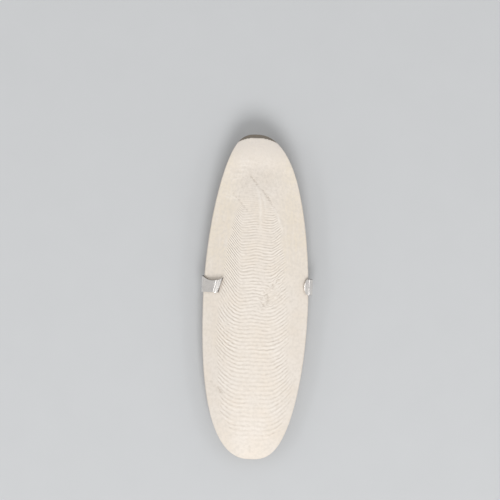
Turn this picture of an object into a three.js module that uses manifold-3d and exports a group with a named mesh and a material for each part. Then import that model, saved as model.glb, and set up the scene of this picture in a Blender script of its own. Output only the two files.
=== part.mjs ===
// A cuttlebone and the steel strip clip that holds it to a cage.
//
// Units are millimetres. In the bone's own frame, Y runs along the bone with the tail end
// at +Y, X runs across it, and Z points out of the soft striped face. Y = 0 is the widest
// place, and Z = 0 is the lowest place of the hard back. The pair is then tipped a little
// and set down, so that it rests on the bone's back and on the clip, with its box centred
// on X and Y and standing on Z = 0.

import * as THREE from 'three';
import { mergeVertices } from 'three/addons/utils/BufferGeometryUtils.js';
import Module from 'manifold-3d';

// ---- driving dimensions of the bone ----
const HALF_WIDTH = 26;
const TAIL_LENGTH = 81.5; // from the widest place to the tail end
const HEAD_LENGTH = 78.5; // from the widest place to the head end
const TAIL_DRIFT = -2.3; // how far the tail end wanders to one side
const HEAD_DRIFT = 0.3;
const HEAD_BOW = -0.5; // how far the head half bows to one side
const RIM_HEIGHT = 9; // of the rim above the lowest place of the back
const RIM_RISE = 1.2; // how much higher the rim is at the two ends
const CROWN_HEIGHT = 8; // of the soft face above the rim
const CROWN_PLACE = -25; // where the soft face is highest
const CROWN_HEAD_RUN = 53.5; // from the highest place to where the crown ends
const CROWN_TAIL_RUN = 92;
const DISH_DEPTH = 2.6; // of the spoon-shaped hollow at the tail end
const DISH_PLACE = 66;
const DISH_SPREAD = 10;
const BONE_ROWS = 48;
const BONE_COLUMNS = 18;

// ---- driving dimensions of the clip ----
const CLIP_PLACE = 7.2; // along the bone
const STRIP_WIDTH = 8;
const STRIP_THICKNESS = 0.6;
const CLEARANCE = 0.3; // between the strip and the bone's back
const CLAW_CLEARANCE = 0.15; // added where the strip lies on the sloping soft face
const LONG_CLAW = 9; // how far the left claw reaches over the face, at its middle
const LONG_CLAW_SLANT = 0.3; // of its end, as a slope
const CLAW_RISE = 0.16; // slope of the long claw away from the face, from the rim on
const ARCH_PLACE = 6.7; // of the long claw's highest place, from the rim
const ARCH_FALL = 0.52; // slope back down to the face
const LIP_PLACE = 8.1; // from the rim, where the long claw's end turns up
const LIP_RISE = 0.3; // slope of the turned-up end
const BEND_SOFTNESS = 0.18; // of the long claw's two bends
const SCOOP_DEPTH = 2.1; // of the arc in the long claw's upper edge
const SCOOP_PLACE = 4.8; // of its middle, from the rim
const SCOOP_RADIUS = 6.6;
const SHORT_CLAW = 2.6; // how far the right claw reaches over the face
const SHORT_CLAW_ROUND = 2; // how much of that is its rounded end
const SIDE_GAP = 1; // between the right-hand bend and the bone
const SIDE_CLOSE = 0.85; // share of that gap that the short claw closes over the face
const RIM_BEND = 0.1; // turn, in radians, before and after a rim in which a claw bends over
const STRIP_STEPS = 110;
const TONGUE_WIDTH = 3;
const TONGUE_ROOT = 8.4; // from the middle of the strip
const TONGUE_TIP = 18.5;
const WINDOW_START = 9.3;
const WINDOW_END = 19.8;
const WINDOW_MARGIN = 0.35; // on each side of a tongue

const wasm = await Module();
wasm.setup();

// ---- the bone's shape ----

/** A distance from the widest place as a share of the way to the end it points at. */
function shareOfLength(y) {
  return y >= 0 ? y / TAIL_LENGTH : -y / HEAD_LENGTH;
}

/** Half the bone's width: a blunt, long-shouldered taper to the tail, a round head end. */
function halfWidth(y) {
  const share = Math.min(shareOfLength(y), 1);
  if (y >= 0) return HALF_WIDTH * (1 - share ** 1.75) ** (1 / 2.5);
  return HALF_WIDTH * (1 - share ** 2.2) ** (1 / 2.6);
}

/** How far the middle line lies to one side: both tips wander, and the head half bows. */
function drift(y) {
  const share = shareOfLength(y);
  if (y >= 0) return TAIL_DRIFT * share ** 8;
  return HEAD_DRIFT * share ** 8 + HEAD_BOW * 4 * share ** 2 * (1 - share ** 2);
}

function rimHeight(y) {
  return RIM_HEIGHT + RIM_RISE * shareOfLength(y) ** 2;
}

/** Height of the hard back, with across running from -1 at one rim to 1 at the other. */
function backHeight(y, across) {
  const keel = RIM_HEIGHT * (1 - Math.min(shareOfLength(y), 1) ** 2.6) ** 0.6;
  return rimHeight(y) - keel * (1 - Math.abs(across) ** 2.3) ** 0.75;
}

/** How far the soft face's middle stands above the rim. */
function crown(y) {
  const fromTop = y - CROWN_PLACE;
  if (fromTop < 0) {
    return CROWN_HEIGHT * (1 - Math.min(-fromTop / CROWN_HEAD_RUN, 1) ** 2.6) ** 0.6;
  }
  return CROWN_HEIGHT * (1 - Math.min(fromTop / CROWN_TAIL_RUN, 1) ** 2) ** 1.3;
}

/** Height of the soft face: a crown, sunk to a shallow dish near the tail end. */
function faceHeight(y, across) {
  const dish = DISH_DEPTH * Math.exp(-(((y - DISH_PLACE) / DISH_SPREAD) ** 2));
  const rise = crown(y) * (1 - Math.abs(across) ** 2.4) ** 1.2;
  return rimHeight(y) + rise - dish * (1 - across ** 2) ** 2;
}

/** A point of one skin of the bone; rows and columns crowd towards the ends and rims. */
function bonePoint(heightAt, row, column) {
  const turn = (Math.PI * row) / BONE_ROWS;
  const middle = (TAIL_LENGTH - HEAD_LENGTH) / 2;
  const y = middle - ((TAIL_LENGTH + HEAD_LENGTH) / 2) * Math.cos(turn);
  const isEnd = row === 0 || row === BONE_ROWS;
  const across = -Math.cos((Math.PI * column) / BONE_COLUMNS);
  if (isEnd) return [drift(y), y, rimHeight(y)];
  return [drift(y) + halfWidth(y) * across, y, heightAt(y, across)];
}

/** One skin as loose triangles: quads between rows, with a fan at each end. */
function boneSkin(heightAt, facesUp) {
  const positions = [];
  const add = (...corners) => {
    const ordered = facesUp ? corners : corners.reverse();
    ordered.forEach(([row, column]) => positions.push(...bonePoint(heightAt, row, column)));
  };
  for (let row = 0; row < BONE_ROWS; row += 1) {
    for (let column = 0; column < BONE_COLUMNS; column += 1) {
      const near = [row, column];
      const nearNext = [row, column + 1];
      const far = [row + 1, column];
      const farNext = [row + 1, column + 1];
      if (row > 0) add(near, nearNext, farNext);
      if (row < BONE_ROWS - 1) add(near, farNext, far);
    }
  }
  return positions;
}

function boneGeometry() {
  const positions = [...boneSkin(faceHeight, true), ...boneSkin(backHeight, false)];
  const loose = new THREE.BufferGeometry();
  loose.setAttribute('position', new THREE.Float32BufferAttribute(positions, 3));
  const geometry = mergeVertices(loose, 1e-4);
  geometry.computeVertexNormals();
  return geometry;
}

// ---- the clip's shape ----

/** 0 before start, 1 past end, and a smooth step between; start may be above end. */
function smoothStep(value, start, end) {
  const share = Math.min(Math.max((value - start) / (end - start), 0), 1);
  return share * share * (3 - 2 * share);
}

/**
 * The bone's section at the clip. The turn runs from 0 at the left rim, under the back, to
 * PI at the right rim; below 0 and past PI it lies on the soft face.
 */
function sectionPoint(turn) {
  const across = -Math.cos(turn);
  const onBack = turn >= 0 && turn <= Math.PI;
  const height = onBack ? backHeight(CLIP_PLACE, across) : faceHeight(CLIP_PLACE, across);
  return new THREE.Vector2(drift(CLIP_PLACE) + halfWidth(CLIP_PLACE) * across, height);
}

/** The section's outward direction, averaged over a short stretch to round the rims. */
function sectionNormal(turn) {
  const reach = 0.06;
  const along = sectionPoint(turn + reach).sub(sectionPoint(turn - reach)).normalize();
  return new THREE.Vector2(along.y, -along.x);
}

/** The turn at which the strip reaches so far over the face. */
function clawTurn(reach) {
  return Math.acos(1 - reach / halfWidth(CLIP_PLACE));
}

/** How far past a bend a reach is, rounded off to 0 before it. */
function pastBend(reach, place) {
  return BEND_SOFTNESS * Math.log1p(Math.exp((reach - place) / BEND_SOFTNESS));
}

/** The long claw's own stand-off: three straight lengths, up, down and up, softly joined. */
function longClawLift(reach) {
  return CLAW_RISE * reach
    - (CLAW_RISE + ARCH_FALL) * pastBend(reach, ARCH_PLACE)
    + (ARCH_FALL + LIP_RISE) * pastBend(reach, LIP_PLACE);
}

/** How far the strip's inner side stands off the bone at a turn. */
function standOff(turn) {
  const pastLeft = smoothStep(turn, RIM_BEND, -RIM_BEND);
  const pastRight = smoothStep(turn, Math.PI - RIM_BEND, Math.PI + RIM_BEND);
  const clawEnd = Math.PI + clawTurn(SHORT_CLAW);
  const side = SIDE_GAP * smoothStep(turn, Math.PI - 8 * RIM_BEND, Math.PI - 1.5 * RIM_BEND)
    * (1 - SIDE_CLOSE * smoothStep(turn, Math.PI + RIM_BEND / 2, clawEnd));
  const lift = turn < 0 ? longClawLift(halfWidth(CLIP_PLACE) * (1 - Math.cos(turn))) : 0;
  return CLEARANCE + CLAW_CLEARANCE * (pastLeft + pastRight) + side + lift;
}

/** The strip's outline seen along the bone: the inner side out, and the outer side back. */
function stripProfile() {
  const trimmed = 0.5; // off each claw's end
  const left = -clawTurn(LONG_CLAW + LONG_CLAW_SLANT * (STRIP_WIDTH / 2) + trimmed);
  const right = Math.PI + clawTurn(SHORT_CLAW + trimmed);
  const inner = [];
  const outer = [];
  for (let step = 0; step <= STRIP_STEPS; step += 1) {
    const turn = left + ((right - left) * step) / STRIP_STEPS;
    const point = sectionPoint(turn);
    const normal = sectionNormal(turn);
    inner.push(point.clone().addScaledVector(normal, standOff(turn)));
    outer.push(point.clone().addScaledVector(normal, standOff(turn) + STRIP_THICKNESS));
  }
  return new THREE.Shape([...inner, ...outer.reverse()]);
}

/** A closed solid from a geometry: only the places count, and doubles are merged. */
function solid(geometry) {
  const bare = geometry.clone();
  bare.deleteAttribute('normal');
  bare.deleteAttribute('uv');
  const merged = mergeVertices(bare, 1e-4);
  return new wasm.Manifold(new wasm.Mesh({
    numProp: 3,
    vertProperties: new Float32Array(merged.attributes.position.array),
    triVerts: new Uint32Array(merged.index.array),
  }));
}

/** A solid whose outline lies across the bone and whose width runs along it. */
function crossPlate(shape, width) {
  const geometry = new THREE.ExtrudeGeometry(shape, { depth: width, bevelEnabled: false });
  geometry.rotateX(Math.PI / 2);
  geometry.translate(0, CLIP_PLACE + width / 2, 0);
  return solid(geometry);
}

/** An upright prism over an outline in X and Y, tall enough to trim either claw. */
function uprightPrism(points) {
  const belowRim = 1;
  const depth = CROWN_HEIGHT + 4;
  const shape = new THREE.Shape(points.map(([x, y]) => new THREE.Vector2(x, y)));
  const geometry = new THREE.ExtrudeGeometry(shape, { depth, bevelEnabled: false });
  geometry.translate(0, CLIP_PLACE, RIM_HEIGHT - belowRim);
  return solid(geometry);
}

/** The slanted end of the long claw. */
function longClawTrim() {
  const wide = STRIP_WIDTH;
  const end = LONG_CLAW - halfWidth(CLIP_PLACE);
  return uprightPrism([
    [end - LONG_CLAW_SLANT * wide, -wide],
    [end + wide, -wide],
    [end + wide, wide],
    [end + LONG_CLAW_SLANT * wide, wide],
  ]);
}

/** The long claw's scooped upper edge: a shallow arc taken out of the strip's side. */
function scoopTrim() {
  const middle = SCOOP_PLACE - halfWidth(CLIP_PLACE);
  const centre = STRIP_WIDTH / 2 + SCOOP_RADIUS - SCOOP_DEPTH;
  const half = Math.acos((SCOOP_RADIUS - SCOOP_DEPTH) / SCOOP_RADIUS) + 0.1;
  const down = -Math.PI / 2;
  const arc = new THREE.EllipseCurve(
    middle, centre, SCOOP_RADIUS, SCOOP_RADIUS, down - half, down + half,
  );
  return uprightPrism(arc.getPoints(16).map((point) => [point.x, point.y]));
}

/** The short claw's rounded end: what lies past a half ellipse as wide as the strip. */
function shortClawTrim() {
  const half = STRIP_WIDTH / 2;
  const far = halfWidth(CLIP_PLACE) - SHORT_CLAW - half;
  const start = halfWidth(CLIP_PLACE) - SHORT_CLAW + SHORT_CLAW_ROUND;
  const arc = new THREE.EllipseCurve(
    start, 0, SHORT_CLAW_ROUND, half, Math.PI / 2, (3 * Math.PI) / 2,
  );
  const rounded = arc.getPoints(16).map((point) => [point.x, point.y]);
  return uprightPrism([
    [far, half + 1],
    [start, half + 1],
    ...rounded,
    [start, -half - 1],
    [far, -half - 1],
  ]);
}

/** A cage-bar tongue: left straight where the strip bends up and away from it. */
function tongue(side) {
  const low = -CLEARANCE - STRIP_THICKNESS;
  const rootLow = low + backHeight(CLIP_PLACE, TONGUE_ROOT / halfWidth(CLIP_PLACE));
  const shape = new THREE.Shape([
    new THREE.Vector2(side * TONGUE_ROOT, rootLow),
    new THREE.Vector2(side * (TONGUE_TIP - 0.4), low),
    new THREE.Vector2(side * TONGUE_TIP, low + 0.35),
    new THREE.Vector2(side * (TONGUE_TIP - 0.4), low + STRIP_THICKNESS),
    new THREE.Vector2(side * TONGUE_ROOT, rootLow + STRIP_THICKNESS),
  ]);
  return crossPlate(shape, TONGUE_WIDTH);
}

/** The window that a tongue was pressed out of. */
function tongueWindow(side) {
  const shape = new THREE.Shape([
    new THREE.Vector2(side * WINDOW_START, -3),
    new THREE.Vector2(side * WINDOW_END, -3),
    new THREE.Vector2(side * WINDOW_END, 6),
    new THREE.Vector2(side * WINDOW_START, 6),
  ]);
  return crossPlate(shape, TONGUE_WIDTH + 2 * WINDOW_MARGIN);
}

function clipGeometry() {
  let clip = crossPlate(stripProfile(), STRIP_WIDTH);
  clip = clip.subtract(longClawTrim());
  clip = clip.subtract(scoopTrim());
  clip = clip.subtract(shortClawTrim());
  for (const side of [-1, 1]) {
    clip = clip.subtract(tongueWindow(side));
    clip = clip.add(tongue(side));
  }
  const mesh = clip.getMesh();
  const geometry = new THREE.BufferGeometry();
  geometry.setAttribute('position', new THREE.Float32BufferAttribute(mesh.vertProperties, 3));
  geometry.setIndex([...mesh.triVerts]);
  geometry.computeVertexNormals();
  return geometry;
}

// ---- how the pair lies ----

/** The tip, in radians, at which a table touches both the clip's edge and the back. */
function restingTip() {
  const edge = CLIP_PLACE - STRIP_WIDTH / 2;
  const low = -CLEARANCE - STRIP_THICKNESS;
  let tip = Math.PI;
  for (let y = -HEAD_LENGTH; y < edge - 1; y += 0.5) {
    tip = Math.min(tip, Math.atan2(backHeight(y, 0) - low, edge - y));
  }
  return tip;
}

function mesh(name, geometry, material) {
  const made = new THREE.Mesh(geometry, material);
  made.name = name;
  return made;
}

const chalk = new THREE.MeshStandardMaterial({ color: 0xebe2d7, roughness: 0.92, metalness: 0 });
const nickel = new THREE.MeshStandardMaterial({ color: 0xb9b5b0, roughness: 0.25, metalness: 1 });

const group = new THREE.Group();
group.add(mesh('cuttlebone', boneGeometry(), chalk));
group.add(mesh('cage_clip', clipGeometry(), nickel));
group.rotation.x = restingTip();
const box = new THREE.Box3().setFromObject(group, true);
const centre = box.getCenter(new THREE.Vector3());
group.position.set(-centre.x, -centre.y, -box.min.z);

export default group;
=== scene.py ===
import math

import bpy
import numpy as np
from mathutils import Matrix, Vector


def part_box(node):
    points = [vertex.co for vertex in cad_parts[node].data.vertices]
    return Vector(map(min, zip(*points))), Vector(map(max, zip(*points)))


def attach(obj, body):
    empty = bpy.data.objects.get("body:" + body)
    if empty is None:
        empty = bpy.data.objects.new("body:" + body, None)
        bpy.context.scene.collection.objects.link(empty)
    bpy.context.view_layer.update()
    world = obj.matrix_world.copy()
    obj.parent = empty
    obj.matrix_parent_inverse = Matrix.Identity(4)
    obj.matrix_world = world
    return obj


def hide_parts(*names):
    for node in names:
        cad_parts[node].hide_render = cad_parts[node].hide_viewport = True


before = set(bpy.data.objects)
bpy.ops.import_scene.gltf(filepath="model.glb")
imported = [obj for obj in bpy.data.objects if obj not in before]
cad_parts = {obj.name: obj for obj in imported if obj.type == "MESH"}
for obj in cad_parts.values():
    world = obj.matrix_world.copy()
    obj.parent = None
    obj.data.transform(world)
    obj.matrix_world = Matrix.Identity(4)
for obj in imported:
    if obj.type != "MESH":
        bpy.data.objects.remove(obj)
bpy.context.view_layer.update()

# ---- The camera and the light ----
# The pair is seen from straight over the bone's striped face, a little turned, through a
# long lens. A slanting soft lamp past the head end brings out the growth lines, strip lamps
# at the sides and a faint panel overhead give the clip its shine, and a pale room lights all.

MM = 0.001
REST_TIP = math.radians(2.62)  # the bone lies with its tail end this much raised
LEAN = math.radians(1.96)  # the bone leans to the right in the view
CAMERA_DISTANCE = 1.1
VIEW_WIDTH = 0.247  # what the view takes in at the height of the bone's rim
SENSOR_WIDTH = 36  # of the camera, in mm
AIM_FROM_MIDDLE = (-3.6, 23.15)  # of the view, from the bone's middle, in mm
ROOM_GLOW = 0.575


def soft_box(name, place, width, length, power):
    """A soft rectangular lamp at a place in metres, facing the middle of the table, with
    its length running level."""
    lamp = bpy.data.lights.new(name, "AREA")
    lamp.shape = "RECTANGLE"
    lamp.size = width
    lamp.size_y = length
    lamp.energy = power
    stand = bpy.data.objects.new(name, lamp)
    stand.location = place
    stand.rotation_mode = "QUATERNION"
    stand.rotation_quaternion = (-Vector(place)).to_track_quat("-Z", "X")
    bpy.context.scene.collection.objects.link(stand)


def stand_camera():
    """Puts the camera on the line square to the bone's rim, at the middle of the view."""
    low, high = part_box("cuttlebone")
    middle = (low + high) / 2
    tip = Matrix.Rotation(REST_TIP, 3, "X")
    across, along, up = (tip @ Vector(axis) for axis in np.eye(3))
    aim = middle + (across * AIM_FROM_MIDDLE[0] + along * AIM_FROM_MIDDLE[1]) * MM
    right = across * math.cos(LEAN) + along * math.sin(LEAN)
    top = along * math.cos(LEAN) - across * math.sin(LEAN)
    lens = bpy.data.cameras.new("camera")
    lens.sensor_width = SENSOR_WIDTH
    lens.lens = lens.sensor_width * CAMERA_DISTANCE / VIEW_WIDTH
    camera = bpy.data.objects.new("camera", lens)
    camera.matrix_world = Matrix.Translation(aim + up * CAMERA_DISTANCE) @ Matrix(
        (right, top, up)
    ).transposed().to_4x4()
    bpy.context.scene.collection.objects.link(camera)
    bpy.context.scene.camera = camera


def fill_room():
    """A plain white room, which lights everything a little from all round."""
    room = bpy.data.worlds.new("pale_room")
    room.use_nodes = True
    background = room.node_tree.nodes["Background"]
    background.inputs["Color"].default_value = (1.0, 1.0, 1.0, 1)
    background.inputs["Strength"].default_value = ROOM_GLOW
    bpy.context.scene.world = room
    bpy.context.scene.view_settings.view_transform = "Standard"


stand_camera()
soft_box("left_strip", place=(-0.86, 0.0, 0.86), width=0.2, length=0.9, power=1.05)
soft_box("right_strip", place=(0.9, 0.0, 0.84), width=0.2, length=0.9, power=0.85)
soft_box("top_panel", place=(0.0, 0.02, 1.6), width=0.9, length=0.9, power=0.25)
soft_box("low_lamp", place=(0.15, -1.3, 1.6), width=1.0, length=1.0, power=24.0)
fill_room()

# ---- The cuttlebone ----
# The bone of a cuttlefish: many thin chalky leaves laid one on another, whose ends show as
# fine lines on the soft face, over a hard grainy back. It grew in one piece. Its rim is
# sharp, and a thin horny lip shows at the tail end. It lies in the clip, back down.

HALF_WIDTH = 26.0
TAIL_LENGTH = 81.5  # from the widest place to the tail end
HEAD_LENGTH = 78.5
TAIL_TAPER, TAIL_BLUNTNESS = 1.75, 2.5
HEAD_TAPER, HEAD_BLUNTNESS = 2.2, 2.6
TAIL_DRIFT, HEAD_DRIFT = -2.3, 0.3  # how far the tips wander to one side
HEAD_BOW = -0.5  # how far the head half bows to one side
RIM_HEIGHT, RIM_RISE = 9.0, 1.2
CROWN_HEIGHT, CROWN_PLACE = 8.0, -25.0
CROWN_HEAD_RUN, CROWN_TAIL_RUN = 53.5, 92.0
DISH_DEPTH, DISH_PLACE, DISH_SPREAD = 2.6, 66.0, 10.0
LIP_WIDTH = 1.8  # of the horny lip past the chalk at the tail end
LIP_TAPER = (77.1, 80.6)  # it narrows between these places, down the sides
LIP_FADE = (77.3, 78.2)  # and it ends between these
LIP_EDGE = (-0.35, 0.1)  # the chalk turns to horn from so far short of its edge to past it
RIM_ROUNDING, RIM_DROP, LIP_DROP = 0.45, 0.25, 0.35  # the rim's edge rolls off the face
THINNEST, THIN_RIM = 0.25, 0.5  # the least thickness, reached so far inside the rim
RELIEF_FADE = 2.5  # the fine relief is whole so far inside the rim
TAIL_PAINTED_SHADE = (64, 80)  # where painted shade darkens the chalk towards the tail
PAINTED_LIGHT_PLACE, PAINTED_LIGHT_LENGTH, PAINTED_LIGHT_WIDTH = 56, 7, 14  # a patch of painted light over the dish
ROW_STEP = 0.31
END_RUN, END_ROWS = 3.0, 20
FACE_COLUMNS, BACK_COLUMNS = 146, 38
OUTLINE_STEPS = 361  # round half the plain bone's outline, to measure its box


def length_share(y):
    """Distance from the widest place as a share of the way to the end on that side."""
    return np.where(y >= 0, y / TAIL_LENGTH, -y / HEAD_LENGTH).clip(0, 1)


def half_width(y):
    """Half width: 1 less the share to the power of the taper, and of that the root of the
    order of the bluntness. The head half is rounder than the tail half."""
    share = length_share(y)
    tail = (1 - share**TAIL_TAPER).clip(0, 1) ** (1 / TAIL_BLUNTNESS)
    head = (1 - share**HEAD_TAPER).clip(0, 1) ** (1 / HEAD_BLUNTNESS)
    return HALF_WIDTH * np.where(y >= 0, tail, head)


def drift(y):
    """Sideways place of the middle line: it grows as the eighth power of the share, and
    the head half also bows out as 4 share^2 (1 - share^2)."""
    share = length_share(y)
    bow = HEAD_BOW * 4 * share**2 * (1 - share**2)
    return np.where(y >= 0, TAIL_DRIFT * share**8, HEAD_DRIFT * share**8 + bow)


def rim_height(y):
    """Height of the rim, rising as the square of the share."""
    return RIM_HEIGHT + RIM_RISE * length_share(y) ** 2


def back_height(y, across):
    """The hard back: a keel below the rim, which shrinks to the ends as
    (1 - share^2.6)^0.6 and rounds up to the rim at the sides as (1 - |across|^2.3)^0.75."""
    keel = RIM_HEIGHT * (1 - length_share(y) ** 2.6) ** 0.6
    return rim_height(y) - keel * (1 - np.abs(across) ** 2.3).clip(0, 1) ** 0.75


def crown(y):
    """The soft face's height above the rim: from the crown it falls bluntly to the head as
    (1 - share^2.6)^0.6, and in a long slope to the tail as (1 - share^2)^1.3."""
    to_head = ((CROWN_PLACE - y) / CROWN_HEAD_RUN).clip(0, 1)
    to_tail = ((y - CROWN_PLACE) / CROWN_TAIL_RUN).clip(0, 1)
    return CROWN_HEIGHT * (1 - to_head**2.6) ** 0.6 * (1 - to_tail**2) ** 1.3


def face_height(y, across):
    """The soft face: the crown, falling to the rim at the sides as (1 - |across|^2.4)^1.2,
    less a bell-shaped dish near the tail end that fades out to the sides."""
    dish = DISH_DEPTH * np.exp(-(((y - DISH_PLACE) / DISH_SPREAD) ** 2))
    rise = crown(y) * (1 - np.abs(across) ** 2.4).clip(0, 1) ** 1.2
    return rim_height(y) + rise - dish * (1 - across**2) ** 2


def step(value, start, end):
    """0 before start and 1 past end, with a smooth cubic step between."""
    share = ((value - start) / (end - start)).clip(0, 1)
    return share * share * (3 - 2 * share)


def ripples(x, y, size, seed, waves=14):
    """Seeded noise from -1 to 1 or so: the sum of sine waves about size mm long, each with
    a direction, a length and a start of its own."""
    draw = np.random.default_rng(seed)
    turn = draw.uniform(0, 2 * np.pi, waves)
    pitch = 2 * np.pi / (size * draw.uniform(0.6, 1.7, waves))
    start = draw.uniform(0, 2 * np.pi, waves)
    total = np.zeros(np.broadcast(x, y).shape)
    for wave in range(waves):
        total += np.sin(
            pitch[wave] * (x * np.cos(turn[wave]) + y * np.sin(turn[wave])) + start[wave]
        )
    return total * math.sqrt(2 / waves) / 1.6


def bent_line(points, steps=16):
    """A smooth line through the plane: the Bezier curve of its points, in even steps."""
    along = np.linspace(0, 1, steps)[:, None]
    corners = [np.array(point) + 0 * along for point in points]
    while len(corners) > 1:
        corners = [a + (b - a) * along for a, b in zip(corners, corners[1:])]
    return corners[0]


def near_line(x, y, points, width):
    """1 on a bent line, falling off as a bell to each side and fading out at its ends."""
    line = bent_line(points)
    total = np.zeros(x.shape)
    for step_number, ((x0, y0), (x1, y1)) in enumerate(zip(line, line[1:])):
        dx, dy = x1 - x0, y1 - y0
        share = (((x - x0) * dx + (y - y0) * dy) / (dx * dx + dy * dy)).clip(0, 1)
        away = np.hypot(x - x0 - share * dx, y - y0 - share * dy)
        fade = math.sin(math.pi * (step_number + 1) / len(line)) ** 0.5
        total = np.maximum(total, fade * np.exp(-((away / width) ** 2)))
    return total


LINE_SPACING = 1.68  # between the growth lines at the bone's widest place
LINES_WIDEN = 0.0095  # growth of that spacing for each mm to the head
BOWL_START, BOWL_STEEP = 6.2, 0.105  # the arms of the lines in the head half
LEFT_ARM = (7.4, 1.3, 1.2)  # where the arms start in the tail half, their slope, their bend
RIGHT_ARM = (6.6, 0.9, 1.6)
BOWL_TO_STRAIGHT = (-14, 12)  # where along the bone the one kind of arm becomes the other
TORN_PLACE, TORN_SLANT = (6.8, 3), 0.45
TORN_WIDTH, TORN_LENGTH = 4.6, 8.0
HUMP_HEIGHT, HUMP_PLACE, HUMP_WIDTH = 0.76, -0.8, 3.7
PULL_DEPTH = 1.3  # how far the torn patch pulls the lines down
FINE_LINES, FINE_PATCH = 3.2, (43, 58)  # extra lines by the tail, and where they come
SHAKE, TORN_SHAKE = 0.08, 0.65  # of the lines, as a share of their spacing


def torn(x, y):
    """1 in the middle of the patch where the leaves are torn, falling off as a bell."""
    away = y - TORN_PLACE[1]
    turned = (x - TORN_PLACE[0]) - TORN_SLANT * away
    return np.exp(-((turned / TORN_WIDTH) ** 2) - (away / TORN_LENGTH) ** 2)


def arms(x, y):
    """How much a line's sides bend up. In the head half it is a bowl, a parabola; in the
    tail half each side is a hyperbola, soon as straight as the side of a V."""
    bowl = BOWL_STEEP / 2 * (np.abs(x) - BOWL_START).clip(0, None) ** 2
    start, slope, bend = (np.where(x < 0, *pair) for pair in zip(LEFT_ARM, RIGHT_ARM))
    straight = slope * (np.hypot((np.abs(x) - start).clip(0, None), bend) - bend)
    return bowl + (straight - bowl) * step(y, *BOWL_TO_STRAIGHT)


def growth(x, y):
    """Number of the growth line at a point: less the logarithm of the spacing over its
    growth, so that lines lie about 1.2 mm apart by the tail and 2.3 mm by the head. They
    have bent-up arms and a hump in the middle, and more of them fit on a patch by the tail.
    Ripples shake them a little, and the torn patch shakes them more and pulls them down."""
    hump = HUMP_HEIGHT * np.exp(-(((x - HUMP_PLACE) / HUMP_WIDTH) ** 2)) * step(y, -28, -8)
    beside_tear = (x - 5.0 - 0.3 * y) / 2.0
    pulled = PULL_DEPTH * np.exp(-(beside_tear**2) - ((y + 0.5) / 5.5) ** 2)
    level = y - arms(x, y) - hump + pulled + 0.16 * ripples(x, y * 1.6, 16, 3)
    spacing = LINE_SPACING - LINES_WIDEN * level
    shake = SHAKE * ripples(x, y * 2.2, 5, 5)
    shake += TORN_SHAKE * torn(x, y) * ripples(x, y, 2.6, 8)
    return -np.log(spacing) / LINES_WIDEN + FINE_LINES * step(y, *FINE_PATCH) + shake


OVAL_HALF_WIDTH, OVAL_PLACE = 17.8, -25  # the striped oval's widest place along the bone
OVAL_TAIL_RUN, OVAL_HEAD_RUN = 87, 45
OVAL_DRIFT = (-1.0, 2.2)  # its middle line's place in the tail half, and its shift by the head


def striped(x, y):
    """1 where the growth lines show: a long oval, which narrows to the tail as
    (1 - share^2)^0.65 and bluntly to the head as (1 - share^4)^0.5, with a ragged edge that
    fades out to the smooth sides."""
    to_tail = ((y - OVAL_PLACE) / OVAL_TAIL_RUN).clip(0, 1)
    to_head = ((OVAL_PLACE - y) / OVAL_HEAD_RUN).clip(0, 1)
    edge = OVAL_HALF_WIDTH * (1 - to_tail**2) ** 0.65 * (1 - to_head**4) ** 0.5
    middle = OVAL_DRIFT[0] + OVAL_DRIFT[1] * step(-y, 25, 45)
    inside = edge + 0.8 * ripples(x, y, 7, 11) - np.abs(x - middle)
    return step(inside, -0.8, 1.2) * step(y, -71.5, -67)


PLAINEST_LINE = 3.4  # the strongest that a line gets


def left_by_wear(x, y):
    """The share of the lines that wear has left: less from the widest place on to the head,
    least by the tail, and less down the middle, with a smooth strip there by the tail."""
    ends = (1 - 0.2 * step(-y, -6, 4) - 0.16 * step(-y, 30, 60)) * (1 - 0.6 * step(y, 36, 50))
    down_middle = 0.1 + 0.1 * step(y, 5, 15) + 0.38 * step(-y, 8, 24)
    middle = 1 - np.exp(-(((x - 1) / 7) ** 2)) * down_middle
    smooth_strip = 1 - 0.8 * np.exp(-(((x - 1.1) / 1.2) ** 2)) * step(y, 28, 36)
    return ends * middle * smooth_strip


# Plainer lines on the arms carry more painted shade and highlight, where the lamp does not
# shade their steps.
def on_arms(x, y):
    """How much plainer the lines are on their arms: most on the left ones by the tail."""
    lower_left = 0.75 - 0.45 * step(-y, 16, 34)
    left = (lower_left + 1.5 * step(y, 2, 16) + 1.2 * step(y, 24, 36)) * step(-x, 8, 11)
    right = 0.8 * step(y, 5, 25) * step(x, 7, 11)
    return 1 + left + right + 0.35 * step(-y, -5, 10) * step(np.abs(x), 9, 14)


def dark_row(x, y):
    """One darker row of lines that bows up to the sides, plainer on the right."""
    row = y + 24.5 - 0.012 * x * x
    strength = 0.7 * np.exp(-((row / 1.6) ** 2)) * step(12 - np.abs(x), 0, 3)
    return strength * (0.3 + 0.7 * step(x, -2, 4))


def line_strength(x, y):
    """How plainly the growth lines show: plain on the arms and worn elsewhere, patchy all
    over, broken into dashes by short ripples, and with a dark row."""
    patchy = 0.9 + 0.36 * ripples(x, y, 9, 17) + 0.45 * ripples(x * 0.6, y * 1.6, 2.0, 19)
    plain = left_by_wear(x, y) * on_arms(x, y) * patchy
    return (plain + dark_row(x, y)).clip(0, PLAINEST_LINE)


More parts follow.
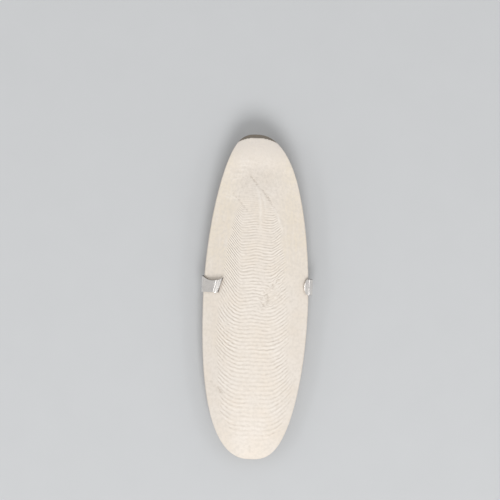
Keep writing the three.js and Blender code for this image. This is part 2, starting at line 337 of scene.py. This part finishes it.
GROOVES = [  # each a bent line in mm, with its width and depth
    ([(0.9, 54.9), (3.2, 52.2), (5.0, 49.6), (7.2, 46.0)], 0.42, 0.34),
    ([(-5.0, 61.4), (-3.4, 59.9), (-1.7, 58.0), (-0.3, 56.0)], 0.42, 0.3),
    ([(-12.8, 52.4), (-8.9, 47.9), (-4.9, 43.2)], 0.38, 0.24),
    ([(8.0, 9.6), (8.3, 7.6), (8.1, 5.8)], 0.4, 0.22),
    ([(5.6, 3.6), (6.0, 1.0), (5.5, -2.0)], 0.45, 0.34),
    ([(4.4, -1.0), (3.7, -2.4), (3.4, -4.2)], 0.42, 0.3),
    ([(11.6, 3.4), (12.0, 2.2), (11.4, 1.0)], 0.4, 0.12),
    ([(-17.4, -43.3), (-16.4, -44.6), (-15.3, -45.8)], 0.85, 0.32),
    ([(-0.5, -71.4), (-0.3, -73.2), (-0.2, -75.0)], 0.45, 0.14),
]
RIDGES = [
    ([(-1.4, 56.2), (0.6, 52.6), (0.9, 46.5), (1.0, 42.0), (1.4, 33.0)], 0.6, 0.13),
    ([(2.0, 51.4), (3.0, 48.4), (3.6, 44.6)], 0.4, 0.12),
    ([(6.8, 46.4), (9.6, 42.4), (11.2, 38.2), (12.4, 33.6)], 0.45, 0.12),
    ([(4.4, 53.4), (7.0, 52.0)], 0.4, 0.1),
    ([(-17.2, 52.4), (-13.1, 50.9), (-9.6, 48.8)], 0.35, 0.09),
    ([(-17.5, 50.9), (-13.0, 49.4)], 0.35, 0.09),
    ([(-9.6, 68.3), (-5.6, 68.5)], 0.4, 0.1),
    ([(-10.2, 66.2), (-5.6, 66.4)], 0.4, 0.1),
    ([(-11.6, 64.0), (-6.6, 64.4)], 0.4, 0.1),
    ([(-12.2, 61.6), (-7.2, 62.2)], 0.4, 0.1),
    ([(-13.8, 59.2), (-9.4, 59.8)], 0.4, 0.1),
]
PITS = 90
PITS_ACROSS, PITS_ALONG = (-21, 21), (-68, 74)
PIT_SIZES, PIT_DEPTHS = (0.18, 0.42), (0.04, 0.13)
PIT_STRETCH = 1.5  # how much wider than long a pit is
SIDE_LINE_STEP = 1.5  # between the faint lines that follow the rim on the smooth sides
LINE_RELIEF, SIDE_LINE_RELIEF, TORN_RELIEF = 0.095, 0.012, 0.06
WAVE_RELIEF, GRAIN_RELIEF = 0.07, 0.028
TOOTH_PEAK = 0.72  # where between two growth lines the saw tooth is highest
TOO_CLOSE = (0.34, 0.46)  # growth lines to a grid step, where the saw teeth fade


def hollows(x, y):
    """Depth of the grooves, ragged and dotted by short ripples, and of the small pits,
    each a bell."""
    depth = np.zeros(x.shape)
    ragged_x = x + 0.3 * ripples(x, y, 1.5, 29)
    dotted = 0.65 + 0.45 * ripples(x, y, 1.3, 30)
    for points, width, deep in GROOVES:
        depth = np.maximum(depth, deep * dotted * near_line(ragged_x, y, points, width))
    draw = np.random.default_rng(21)
    for _ in range(PITS):
        px, py = draw.uniform(*PITS_ACROSS), draw.uniform(*PITS_ALONG)
        size, deep = draw.uniform(*PIT_SIZES), draw.uniform(*PIT_DEPTHS)
        away = ((x - px) / (size * PIT_STRETCH)) ** 2 + ((y - py) / size) ** 2
        depth = np.maximum(depth, deep * np.exp(-away))
    return depth


def side_lines(x, y, inward):
    """Faint waves that follow the rim, on the smooth sides past the striped oval."""
    wave = np.sin(2 * np.pi * inward / SIDE_LINE_STEP + 1.6 * ripples(x, y, 12, 23))
    return wave * (1 - striped(x, y)) * step(inward, 1.5, 3.5) * step(y, -50, -10)


def ridges(x, y):
    """Height of the raised streaks."""
    height = np.zeros(x.shape)
    ragged_x = x + 0.25 * ripples(x, y, 2.5, 28)
    for points, width, high in RIDGES:
        height = np.maximum(height, high * near_line(ragged_x, y, points, width))
    return height


def face_relief(x, y, inward):
    """Fine relief of the soft face: saw-toothed growth lines, ridges, grooves, waviness.
    The saw teeth fade where they are too close for the grid; the finish still shows them."""
    number = growth(x, y)
    lines = number % 1
    tooth = np.where(lines < TOOTH_PEAK, lines / TOOTH_PEAK, (1 - lines) / (1 - TOOTH_PEAK))
    across = np.abs(np.gradient(number, axis=1))
    along = np.abs(np.gradient(number, axis=0))
    clear = 1 - step(np.maximum(across, along), *TOO_CLOSE)
    relief = LINE_RELIEF * line_strength(x, y) * striped(x, y) * (tooth - 0.5) * clear
    relief += SIDE_LINE_RELIEF * side_lines(x, y, inward)
    relief += TORN_RELIEF * torn(x, y) * ripples(x, y, 1.8, 27)
    relief += WAVE_RELIEF * ripples(x, y, 13, 31) + GRAIN_RELIEF * ripples(x, y, 2.2, 37)
    return relief + ridges(x, y) - hollows(x, y)


def warm_sides(x, y):
    """How yellow the chalk is: most on the sides of the tail half, in soft long streaks."""
    sides = 0.1 + 0.9 * step(np.abs(x), 8, 16)
    streaks = 0.8 + 0.35 * ripples(x * 2.2, y * 0.35, 6, 33) + 0.15 * ripples(x, y, 4, 34)
    return (sides * streaks * step(y, -2, 34)).clip(0, 1)


BACK_GRAIN, BACK_ARC = 0.05, 0.05
KEEL_HOLLOW, KEEL_HOLLOW_PLACE, KEEL_HOLLOW_WIDTH = 0.35, 6.5, 3.2


def back_relief(x, y):
    """Fine relief of the hard back, all of it sunk into the back: grains in low arcs along
    the growth, and a long bell-shaped hollow on each side of the keel."""
    arcs = y + 0.02 * x * x
    grains = BACK_GRAIN * ripples(x, arcs * 1.4, 2.4, 41) + BACK_ARC * np.sin(arcs * 1.15)
    from_hollow = (np.abs(x) - KEEL_HOLLOW_PLACE) / KEEL_HOLLOW_WIDTH
    beside = KEEL_HOLLOW * np.exp(-(from_hollow**2))
    relief = grains + beside * step(y, -70, -30) * (1 - step(y, 40, 70))
    return relief - relief.min()


def bone_rows():
    """Places of the rows along the bone: even in the middle, and crowded at the ends as a
    power of the row's number, so that the width grows evenly from each tip."""
    ends = np.arange(END_ROWS) / END_ROWS
    head = -HEAD_LENGTH + END_RUN * ends**2.6
    tail = TAIL_LENGTH - END_RUN * ends[::-1] ** 3
    between = TAIL_LENGTH + HEAD_LENGTH - 2 * END_RUN
    count = round(between / ROW_STEP)
    middle = -HEAD_LENGTH + END_RUN + between * np.arange(count + 1) / count
    return np.concatenate([head, middle, tail])


def bone_columns():
    """Places across each skin, from -1 to 1: on the face even, with a share of the seventh
    power added so that they are closest over the stripes, and on the back a cosine, which
    crowds them towards the rims."""
    even = np.linspace(-1, 1, FACE_COLUMNS + 1)
    face = 0.84 * even + 0.16 * even**7
    back = np.cos(np.linspace(0, np.pi, BACK_COLUMNS + 1))
    return face, back


def settle(points):
    """Points of the bone's own frame in mm, tipped as the bone lies, in metres."""
    return points * MM @ np.array(Matrix.Rotation(REST_TIP, 3, "X")).T


def beside_bone(points):
    """From the bone's own frame in mm to the row frame in metres: tipped, then moved as the
    plain bone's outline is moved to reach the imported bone's box."""
    rim = bone_rows()[:, None] + np.zeros((1, OUTLINE_STEPS))
    across = np.cos(np.linspace(0, np.pi, OUTLINE_STEPS))[None, :]
    skins = [
        np.stack([drift(rim) + half_width(rim) * across, rim, height(rim, across)], -1)
        for height in (face_height, back_height)
    ]
    plain = settle(np.concatenate(skins).reshape(-1, 3))
    low, high = (np.array(corner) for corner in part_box("cuttlebone"))
    place = (low + high - plain.min(0) - plain.max(0)) / 2
    place[2] = low[2] - plain[:, 2].min()
    return settle(points) + place


def ring_faces(rows, ring):
    """Quads between neighbouring rings, and a fan of triangles to a point at each end."""
    row = np.arange(rows - 1)[:, None] * ring
    here = row + np.arange(ring)[None, :]
    onward = row + (np.arange(ring)[None, :] + 1) % ring
    quads = np.stack([here, onward, onward + ring, here + ring], -1).reshape(-1, 4)
    first = np.arange(ring)
    after = (first + 1) % ring
    last = (rows - 1) * ring
    head_tip, tail_tip = rows * ring, rows * ring + 1
    head_fan = np.stack([after, first, np.full(ring, head_tip)], -1)
    tail_fan = np.stack([last + first, last + after, np.full(ring, tail_tip)], -1)
    return quads.tolist() + head_fan.tolist() + tail_fan.tolist()


def mesh_object(name, points, faces):
    """A smooth-shaded mesh object, with its place in its mesh."""
    mesh = bpy.data.meshes.new(name)
    mesh.from_pydata(points.tolist(), [], faces)
    mesh.shade_smooth()
    made = bpy.data.objects.new(name, mesh)
    bpy.context.scene.collection.objects.link(made)
    return made


def store(made, name, values):
    """Keeps one number for each point of a mesh, for its finish to read."""
    layer = made.data.attributes.new(name, "FLOAT", "POINT")
    layer.data.foreach_set("value", np.ascontiguousarray(values, np.float32))


def horny_lip(x, y):
    """1 on the horn past the chalk: the chalk ends where a bone shorter by the lip would."""
    lip = LIP_WIDTH * step(y, *LIP_TAPER)
    chalk_edge = half_width(np.minimum(y * TAIL_LENGTH / (TAIL_LENGTH - lip), TAIL_LENGTH))
    return step(np.abs(x - drift(y)) - chalk_edge, *LIP_EDGE) * step(y, *LIP_FADE)


def bone_marks(x, y, inward, soft, horn):
    """The numbers that the finish reads, one of each for every point of the grid."""
    from_painted_light = ((y - PAINTED_LIGHT_PLACE) / PAINTED_LIGHT_LENGTH) ** 2
    return {
        "growth": growth(x, y),
        "lines": striped(x, y) * line_strength(x, y) * soft,
        "side_lines": side_lines(x, y, inward) * soft,
        "soft_face": soft,
        "horn": np.maximum(horn, (1 - soft) * (1 - step(inward, 0.4, 1.6))),
        "hollow": hollows(x, y) * soft,
        "ridge_painted_highlight": ridges(x, y) * soft,
        "sides_warm": warm_sides(x, y) * soft,
        "tail_painted_shade": step(y, *TAIL_PAINTED_SHADE) * soft,
        "dish_painted_light": np.exp(-from_painted_light - (x / PAINTED_LIGHT_WIDTH) ** 2) * soft,
    }


def make_bone():
    """One closed skin: each row is a ring, over the face from rim to rim and back under.
    Relief fades out to the rim, and the face stays above the back."""
    rows = bone_rows()[1:-1]
    face, back = bone_columns()
    across = np.concatenate([face, back[1:-1]])[None, :]
    on_face = np.concatenate([np.ones(face.size), np.zeros(back.size - 2)])[None, :]
    y = rows[:, None] + 0 * across
    x = drift(y) + half_width(y) * across
    face_z = face_height(y, across)
    back_z = back_height(y, across)
    inward = (1 - np.abs(across)) * half_width(y)
    fade = step(inward, 0, RELIEF_FADE)
    horn = horny_lip(x, y)
    face_z += fade * face_relief(x, y, inward)
    face_z -= RIM_DROP * np.exp(-inward / RIM_ROUNDING) + LIP_DROP * horn
    back_z += fade * back_relief(x, y)
    thick = np.maximum(face_z, back_z + THINNEST * step(inward, 0, THIN_RIM))
    z = np.where(on_face > 0, thick, back_z)
    ends = np.array([-HEAD_LENGTH, TAIL_LENGTH])
    tips = np.stack([drift(ends), ends, rim_height(ends) - RIM_DROP], -1)
    points = np.concatenate([np.stack([x, y, z], -1).reshape(-1, 3), tips])
    made = mesh_object("bone", beside_bone(points), ring_faces(rows.size, across.size))
    marks = bone_marks(x, y, inward, on_face + 0 * y, horn)
    for name, values in marks.items():
        store(made, name, np.append(values.ravel(), values[[0, -1], 0]))
    return made


class Tone:
    """One socket in a material. Arithmetic on it adds Math nodes, so that a finish reads
    as a formula, and node() makes any other node."""

    def __init__(self, tree, socket=None):
        self.tree = tree
        self.socket = socket

    def node(self, kind, settings=None, inputs=None, output=0):
        """Adds a node: its settings first, then values or links for its sockets."""
        made = self.tree.nodes.new(kind)
        for name, value in (settings or {}).items():
            setattr(made, name, value)
        for name, value in (inputs or {}).items():
            if isinstance(value, Tone):
                self.tree.links.new(value.socket, made.inputs[name])
            else:
                made.inputs[name].default_value = value
        return Tone(self.tree, made.outputs[output])

    def math(self, operation, first, second=0.0):
        """A Math node on one or two values or tones."""
        values = {0: first, 1: second}
        return self.node("ShaderNodeMath", {"operation": operation}, values)

    def __add__(self, other):
        return self.math("ADD", self, other)

    __radd__ = __add__

    def __mul__(self, other):
        return self.math("MULTIPLY", self, other)

    __rmul__ = __mul__

    def __sub__(self, other):
        return self.math("SUBTRACT", self, other)

    def __rsub__(self, other):
        return self.math("SUBTRACT", other, self)

    def between(self, start, end):
        """0 below start and 1 above end, smoothly."""
        return self.node(
            "ShaderNodeMapRange",
            {"interpolation_type": "SMOOTHSTEP"},
            {"Value": self, "From Min": start, "From Max": end},
        )

    def blend(self, first, second):
        """The first colour where this is 0 and the second where it is 1."""
        return self.node(
            "ShaderNodeMix",
            {"data_type": "RGBA"},
            {0: self, 6: first, 7: second},
            output=2,
        )


def finish_of(name):
    """A new material, its bench for adding nodes, and its surface shader."""
    made = bpy.data.materials.new(name)
    made.use_nodes = True
    surface = made.node_tree.nodes["Principled BSDF"]
    return made, Tone(made.node_tree), surface


def stored(bench, name):
    """A number kept on the mesh's points."""
    return bench.node("ShaderNodeAttribute", {"attribute_name": name}, output=2)


def noise(bench, place, size, detail=3.0):
    """Noise from 0 to 1 with features about size across, in the unit of the place."""
    inputs = {"Vector": place, "Scale": 1 / size, "Detail": detail}
    return bench.node("ShaderNodeTexNoise", None, inputs)


def join(bench, tone, surface, socket):
    """Feeds a tone to one of the surface shader's sockets."""
    bench.tree.links.new(tone.socket, surface.inputs[socket])


CHALK_WHITE = (0.92, 0.87, 0.81, 1)
CHALK_LIGHT = (0.80, 0.735, 0.665, 1)
CHALK_DARK = (0.70, 0.64, 0.57, 1)
CHALK_WARM = (0.785, 0.705, 0.615, 1)
CHALK_YELLOW = (0.775, 0.695, 0.585, 1)
# painted shade: a greyer chalk colour laid on towards the tail in place of its shade
TAIL_SHADE_PAINT = (0.64, 0.59, 0.543, 1)
# darker line colour, partly painted shade at each step
LINE_DARK_AND_SHADE = (0.50, 0.43, 0.355, 1)
# painted shade for the grooves and pits
HOLLOW_PAINTED_SHADE = (0.52, 0.455, 0.385, 1)
BACK_CREAM = (0.72, 0.64, 0.55, 1)
BACK_TAN = (0.66, 0.57, 0.475, 1)
HORN_BROWN = (0.15, 0.13, 0.105, 1)
MOTTLE, SPECKLE, GRAIN, GRANULE = 0.012, 0.0015, 0.00035, 0.0012  # sizes in metres


def chalk_finish():
    """Matt cream chalk with darker growth lines, partly painted shade at their steps, painted
    highlights on their crests and on the ridges, warmer sides, painted shade in the hollows,
    painted shade towards the tail and painted light over the dish, a waxy tan back with fine
    granules, and a horn-brown lip. The chalk's colour is laid on in coats."""
    made, bench, surface = finish_of("chalky_bone")
    place = bench.node("ShaderNodeTexCoord", output=3)
    line = bench.math("FRACT", stored(bench, "growth"))
    mottle = noise(bench, place, MOTTLE)
    speckle = noise(bench, place, SPECKLE, 5.0)
    grain = noise(bench, place, GRAIN, 6.0)
    soft = stored(bench, "soft_face")
    strength = stored(bench, "lines")
    # dark bands at each line's step, partly painted shade; light bands on the crests, painted
    # highlight
    lines = line.between(0.6, 0.84) * (1 - line.between(0.88, 1.0)) * strength
    painted_crest_highlights = line.between(0.1, 0.3) * (1 - line.between(0.4, 0.6)) * strength
    coats = [  # how much of it, where, and its colour
        (1.0, stored(bench, "sides_warm"), CHALK_YELLOW),
        # painted shade, darkening the chalk towards the tail
        (0.95, stored(bench, "tail_painted_shade"), TAIL_SHADE_PAINT),
        # painted light, whitening the chalk where the dish's slope falls in shade
        (0.22, stored(bench, "dish_painted_light"), CHALK_WHITE),
        (0.6, speckle.between(0.38, 0.7), CHALK_DARK),
        # painted highlight: the raised streaks whitened in place of the light on their tops
        (3.0, stored(bench, "ridge_painted_highlight"), CHALK_WHITE),
        (0.16, stored(bench, "side_lines").between(-0.2, 0.9), CHALK_DARK),
        # the lines' darker colour, partly painted shade at the foot of each step
        (0.31, lines, LINE_DARK_AND_SHADE),
        # painted highlight on the crest of each step
        (0.3, painted_crest_highlights, CHALK_WHITE),
        # painted shade in the grooves and pits
        (2.4, stored(bench, "hollow"), HOLLOW_PAINTED_SHADE),
    ]
    chalk = mottle.between(0.3, 0.75).blend(CHALK_LIGHT, CHALK_WARM)
    for amount, where, colour in coats:
        chalk = (amount * where).blend(chalk, colour)
    back = speckle.between(0.4, 0.68).blend(BACK_CREAM, BACK_TAN)
    body = soft.blend(back, chalk)
    horn = stored(bench, "horn")
    join(bench, horn.blend(body, HORN_BROWN), surface, "Base Color")
    rough = 0.5 + 0.42 * soft - 0.12 * horn * (1 - grain)
    join(bench, rough, surface, "Roughness")
    teeth = line * (1 - line.between(TOOTH_PEAK, 1.0)) * strength
    dips = bench.node("ShaderNodeTexVoronoi", None, {"Vector": place, "Scale": 1 / GRANULE})
    granules = (1 - soft) * (1 - dips)
    relief = speckle * 0.6 + grain * 0.4 + 0.5 * teeth + 2.0 * granules
    bump = bench.node(
        "ShaderNodeBump", None, {"Strength": 0.4, "Distance": 0.00025, "Height": relief}
    )
    join(bench, bump, surface, "Normal")
    return made


bone = make_bone()
bone.data.materials.append(chalk_finish())
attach(bone, "root")
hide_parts("cuttlebone")

# ---- The cage clip ----
# One strip of springy steel, nickel plated, bent round the bone's back with a long claw
# over one edge and a short claw over the other. Two tongues are pressed out of it for the
# cage's bars. The long claw arches, presses on the bone, and turns up in a slanted lip.

CLIP_PLACE = 7.2  # along the bone
STRIP_WIDTH, STRIP_THICKNESS = 8.0, 0.6
CLEARANCE, CLAW_CLEARANCE = 0.3, 0.15
LONG_CLAW, LONG_CLAW_SLANT = 9.0, 0.3
CLAW_RISE = 0.16
ARCH_PLACE, ARCH_FALL = 6.7, 0.52
LIP_PLACE, LIP_RISE = 8.1, 0.3
BEND_SOFTNESS = 0.18
SCOOP_DEPTH, SCOOP_PLACE, SCOOP_RADIUS = 2.1, 4.8, 6.6
SHORT_CLAW, SHORT_CLAW_ROUND = 2.6, 2.0
SIDE_GAP, SIDE_CLOSE = 1.0, 0.85
RIM_BEND = 0.1  # half the turn over which the strip goes round a rim
NECK_DEPTH, NECK_END, NECK_STEEP = 0.8, 1.2, 9.0  # the tail-side edge's dip by the left rim
TONGUE_WIDTH, TONGUE_TIP = 3.0, 18.5
TONGUE_ROUND_START, TONGUE_ROUND_RUN, TONGUE_NARROW = 0.9, 0.11, 0.6
WINDOW_START, WINDOW_END, WINDOW_MARGIN = 9.3, 19.8, 0.35
CLAW_ROWS, BACK_ROWS, TONGUE_ROWS = 44, 90, 12
CLOSE_ROWS = 0.012  # an even row nearer than this turn to a window's end is left out
EDGE_COLUMNS = (0.65, 0.82, 0.92, 0.98, 1.0)
EDGE_ROUNDING, EDGE_ANGLE = 0.12, math.radians(50)
TONGUE_SHIFT = 40  # of the rolling lines on the tongues, so that they differ from the strip's
PLAIN = 10.0  # how far from an edge with painted shadow the rest of the strip counts as, in mm
TIP_SHADOW_GAP = 0.24  # how much the painted shadow on the long claw's tip thins in its middle, in mm
CLIP_WIDTH = float(half_width(np.float64(CLIP_PLACE)))


def claw_turn(reach):
    """The turn past a rim at which the strip reaches so far over the face."""
    return np.arccos(1 - reach / CLIP_WIDTH)


def section(turn):
    """The bone's outline at the clip: across is minus the cosine of the turn, which is 0 at
    the left rim and pi at the right one, with the back between them."""
    across = -np.cos(turn)
    place = np.full(np.shape(turn), CLIP_PLACE)
    on_back = (turn >= 0) & (turn <= np.pi)
    height = np.where(on_back, back_height(place, across), face_height(place, across))
    return np.stack([CLIP_WIDTH * across, height], -1)


def lifted(turn, stand_off):
    """Points at a distance outside the bone's outline, square to the line between the
    outline's points a little before and a little after."""
    little = 0.06
    along = section(turn + little) - section(turn - little)
    along /= np.linalg.norm(along, axis=-1, keepdims=True)
    outward = np.stack([along[..., 1], -along[..., 0]], -1)
    return section(turn) + outward * np.expand_dims(stand_off, -1)


def strip_columns():
    """Places over the strip's width from -1 to 1, with one on each edge of the tongues and
    of their windows, and closer columns by the strip's own edges."""
    half = STRIP_WIDTH / 2
    tongue_edge = TONGUE_WIDTH / 2 / half
    window_edge = tongue_edge + WINDOW_MARGIN / half
    right = np.array([tongue_edge / 2, tongue_edge, window_edge, *EDGE_COLUMNS])
    return np.concatenate([-right[::-1], [0.0], right]), tongue_edge, window_edge


def past_bend(reach, place):
    """How far past a bend a reach is, rounded off to 0 before it: the softness times the
    logarithm of 1 plus the exponential of the reach past the bend over the softness."""
    return BEND_SOFTNESS * np.log1p(np.exp((reach - place) / BEND_SOFTNESS))


def long_claw(columns):
    """The left claw: rows of equal share of the way to its slanted end, with its upper edge
    scooped out as an arc of a circle. It goes up, down and up in three straight lengths."""
    share = np.linspace(1, 0, CLAW_ROWS)[:, None]
    nominal = LONG_CLAW * share + 0 * columns
    arc = np.sqrt((SCOOP_RADIUS**2 - (nominal - SCOOP_PLACE) ** 2).clip(0, None))
    scoop = (SCOOP_DEPTH - SCOOP_RADIUS + arc).clip(0, None)
    half = STRIP_WIDTH / 2
    y = np.where(columns > 0, columns * (half - scoop), columns * half)
    turn = -claw_turn(share * (LONG_CLAW + LONG_CLAW_SLANT * y))
    fall = (CLAW_RISE + ARCH_FALL) * past_bend(nominal, ARCH_PLACE)
    upturn = (ARCH_FALL + LIP_RISE) * past_bend(nominal, LIP_PLACE)
    lift = CLAW_RISE * nominal - fall + upturn
    return turn, y, CLEARANCE + CLAW_CLEARANCE * step(-turn, -RIM_BEND, RIM_BEND) + lift


def under_back(columns):
    """The stretch round the bone's back, with rows on the ends of both windows. Its
    tail-side edge dips by the left rim as a parabola, and it stands off the right rim."""
    marks = np.arccos(np.array([WINDOW_START, WINDOW_END]) / CLIP_WIDTH)
    marks = np.concatenate([marks, np.pi - marks])
    even = np.linspace(0, np.pi, BACK_ROWS)[1:-1]
    clear = np.abs(even[:, None] - marks[None, :]).min(1) > CLOSE_ROWS
    turn = np.sort(np.concatenate([even[clear], marks]))[:, None] + 0 * columns
    arc = ((turn * NECK_STEEP).clip(None, NECK_END) - NECK_END) / NECK_END
    dip = np.where(columns > 0, columns * NECK_DEPTH * arc * -arc, 0)
    y = columns * STRIP_WIDTH / 2 + dip
    side = SIDE_GAP * step(turn, np.pi - 8 * RIM_BEND, np.pi - 1.5 * RIM_BEND)
    ends = step(-turn, -RIM_BEND, RIM_BEND) + step(turn, np.pi - RIM_BEND, np.pi + RIM_BEND)
    return turn, y, CLEARANCE + CLAW_CLEARANCE * ends + side


def short_claw(columns):
    """The right claw: its end is half an ellipse, and it closes in on the face."""
    share = np.linspace(0, 1, CLAW_ROWS // 2)[:, None]
    rounded = SHORT_CLAW_ROUND * (1 - np.sqrt(1 - columns**2))
    reach = share * (SHORT_CLAW - rounded)
    turn = np.pi + claw_turn(reach)
    closed = step(turn, np.pi + RIM_BEND / 2, np.pi + claw_turn(SHORT_CLAW))
    side = SIDE_GAP * (1 - SIDE_CLOSE * closed)
    near_rim = step(turn, np.pi - RIM_BEND, np.pi + RIM_BEND)
    y = columns * STRIP_WIDTH / 2 + 0 * reach
    return turn, y, CLEARANCE + CLAW_CLEARANCE * near_rim + side


def strip_faces(turn, columns, window_edge):
    """Quads of the strip's grid, with those inside the two windows left out."""
    rows, width = turn.shape
    here = np.arange(rows - 1)[:, None] * width + np.arange(width - 1)[None, :]
    quads = np.stack([here, here + 1, here + width + 1, here + width], -1)
    middle = (turn[:-1] + turn[1:])[:, :-1] / 2
    from_middle = np.abs(CLIP_WIDTH * np.cos(middle))
    lateral = np.abs(columns[:-1] + columns[1:])[None, :] / 2
    on_back = (middle > 0) & (middle < np.pi)
    window = on_back & (from_middle > WINDOW_START) & (from_middle < WINDOW_END)
    return quads[~(window & (lateral < window_edge))].tolist()


def tongue(points, root, side):
    """A tongue carried on from its root: rows in a straight line to its tip, which lies flat
    under the bone and is rounded as part of an ellipse."""
    share = np.linspace(0, 1, TONGUE_ROWS + 1)[1:, None]
    tip = np.array([side * TONGUE_TIP, CLIP_PLACE, -CLEARANCE - STRIP_THICKNESS / 2])
    rounding = ((share - TONGUE_ROUND_START) / TONGUE_ROUND_RUN).clip(0, 1)
    narrowing = np.sqrt(1 - rounding**2 * TONGUE_NARROW)
    x = points[root, 0] + (tip[0] - points[root, 0]) * share
    z = points[root, 2] + (tip[2] - points[root, 2]) * share
    y = CLIP_PLACE + (points[root, 1] - CLIP_PLACE) * narrowing
    plate = np.stack([x, y, z], -1)
    index = len(points) + np.arange(TONGUE_ROWS * root.size).reshape(TONGUE_ROWS, -1)
    index = np.concatenate([root[None, :], index])
    faces = np.stack([index[:-1, :-1], index[:-1, 1:], index[1:, 1:], index[1:, :-1]], -1)
    return plate.reshape(-1, 3), faces.reshape(-1, 4)[:, ::side].tolist()


def painted_shadow_distance(columns, rows):
    """How far the strip's points are from an edge with painted shadow: the strip's tail-side
    edge, or the long claw's tip, where the shadow is thinner in the middle as 1 - place^2."""
    from_tip = np.full((rows, columns.size), PLAIN)
    from_tip[:CLAW_ROWS] = np.linspace(0, LONG_CLAW, CLAW_ROWS)[:, None]
    from_tip += TIP_SHADOW_GAP * (1 - columns**2)
    return np.minimum((1 - columns) * STRIP_WIDTH / 2, from_tip).ravel()


def make_clip():
    """The strip's middle sheet, with its windows left out and its tongues carried straight
    on from their roots. It then gets its thickness and rounded edges."""
    columns, tongue_edge, window_edge = strip_columns()
    stretches = [long_claw(columns), under_back(columns), short_claw(columns)]
    turn, y, stand_off = (np.concatenate(values) for values in zip(*stretches))
    flat = lifted(turn, stand_off + STRIP_THICKNESS / 2)
    points = np.stack([flat[..., 0], CLIP_PLACE + y, flat[..., 1]], -1).reshape(-1, 3)
    faces = strip_faces(turn, columns, window_edge)
    root_columns = np.flatnonzero(np.abs(columns) < tongue_edge + 1e-6)
    for side in (-1, 1):
        root_turn = np.arccos(-side * WINDOW_START / CLIP_WIDTH)
        root_row = int(np.abs(turn[:, 0] - root_turn).argmin())
        plate, plate_faces = tongue(points, root_row * columns.size + root_columns, side)
        points = np.concatenate([points, plate])
        faces += plate_faces
    made = mesh_object("clip", beside_bone(points), faces)
    on_tongues = points[turn.size:]
    store(made, "along", np.append(turn.ravel() * CLIP_WIDTH, on_tongues[:, 0] + TONGUE_SHIFT))
    store(made, "across", points[:, 1] - CLIP_PLACE)
    from_painted_shadow = painted_shadow_distance(columns, len(turn))
    store(made, "from_painted_shadow", np.append(from_painted_shadow, np.full(len(on_tongues), PLAIN)))
    wall = made.modifiers.new("thickness", "SOLIDIFY")
    wall.thickness = STRIP_THICKNESS * MM
    wall.offset = 0
    wall.use_even_offset = True
    edge = made.modifiers.new("rounded_edges", "BEVEL")
    edge.width = EDGE_ROUNDING * MM
    edge.segments = 2
    edge.limit_method = "ANGLE"
    edge.angle_limit = EDGE_ANGLE
    return made


NICKEL = (0.89, 0.855, 0.82, 1)
NICKEL_DULL = (0.79, 0.755, 0.73, 1)
# painted shadow along the strip's tail-side edge and the claw's tip
PAINTED_EDGE_SHADOW = (0.20, 0.18, 0.17, 1)
PAINTED_SHADOW_FADE = (0.1, 0.36)  # how far from the edge its darkness starts and ends fading
ROLLING_LINES = 0.12  # their size across the strip, in mm
LINE_STRETCH = 0.03  # of the rolling lines along the strip: 1 would be round spots
SMUDGES = 0.003  # their size in metres


def nickel_finish():
    """Bright plate over fine rolling lines that run along the strip, with dull smudges, and a
    painted shadow along its tail-side edge and at the long claw's tip."""
    made, bench, surface = finish_of("nickel_strip")
    place = bench.node("ShaderNodeTexCoord", output=3)
    strip = bench.node(
        "ShaderNodeCombineXYZ",
        None,
        {"X": LINE_STRETCH * stored(bench, "along"), "Y": stored(bench, "across")},
    )
    lines = noise(bench, strip, ROLLING_LINES)
    smudge = noise(bench, place, SMUDGES, 4.0)
    tone = smudge.between(0.42, 0.72).blend(NICKEL, NICKEL_DULL)
    # painted shadow: the metal darkened along its tail-side edge and the claw's tip
    tone = stored(bench, "from_painted_shadow").between(*PAINTED_SHADOW_FADE).blend(PAINTED_EDGE_SHADOW, tone)
    join(bench, tone, surface, "Base Color")
    surface.inputs["Metallic"].default_value = 1.0
    join(bench, 0.15 + 0.08 * smudge + 0.06 * lines, surface, "Roughness")
    bump = bench.node(
        "ShaderNodeBump", None, {"Strength": 0.1, "Distance": 0.00003, "Height": lines}
    )
    join(bench, bump, surface, "Normal")
    return made


clip = make_clip()
clip.data.materials.append(nickel_finish())
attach(clip, "root")
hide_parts("cage_clip")

# ---- The table top ----
# A wide plain sheet of pale card that the pair lies on. It is staging, not a piece of the
# object, and nothing is fixed to it.

TABLE_REACH = 1.5  # from its middle to its edges, in metres
CARD_MOTTLE = 0.02
CARD_TONES = (0.56, 0.57, 0.58, 1), (0.58, 0.59, 0.60, 1)


def lay_table():
    """A square sheet at the height of 0, which the pair rests on."""
    corners = np.array([(-1, -1, 0), (1, -1, 0), (1, 1, 0), (-1, 1, 0)]) * TABLE_REACH
    table = mesh_object("table_top", corners, [(0, 1, 2, 3)])
    made, bench, surface = finish_of("pale_card")
    place = bench.node("ShaderNodeTexCoord", output=3)
    tone = noise(bench, place, CARD_MOTTLE).blend(*CARD_TONES)
    join(bench, tone, surface, "Base Color")
    surface.inputs["Roughness"].default_value = 0.9
    table.data.materials.append(made)


lay_table()
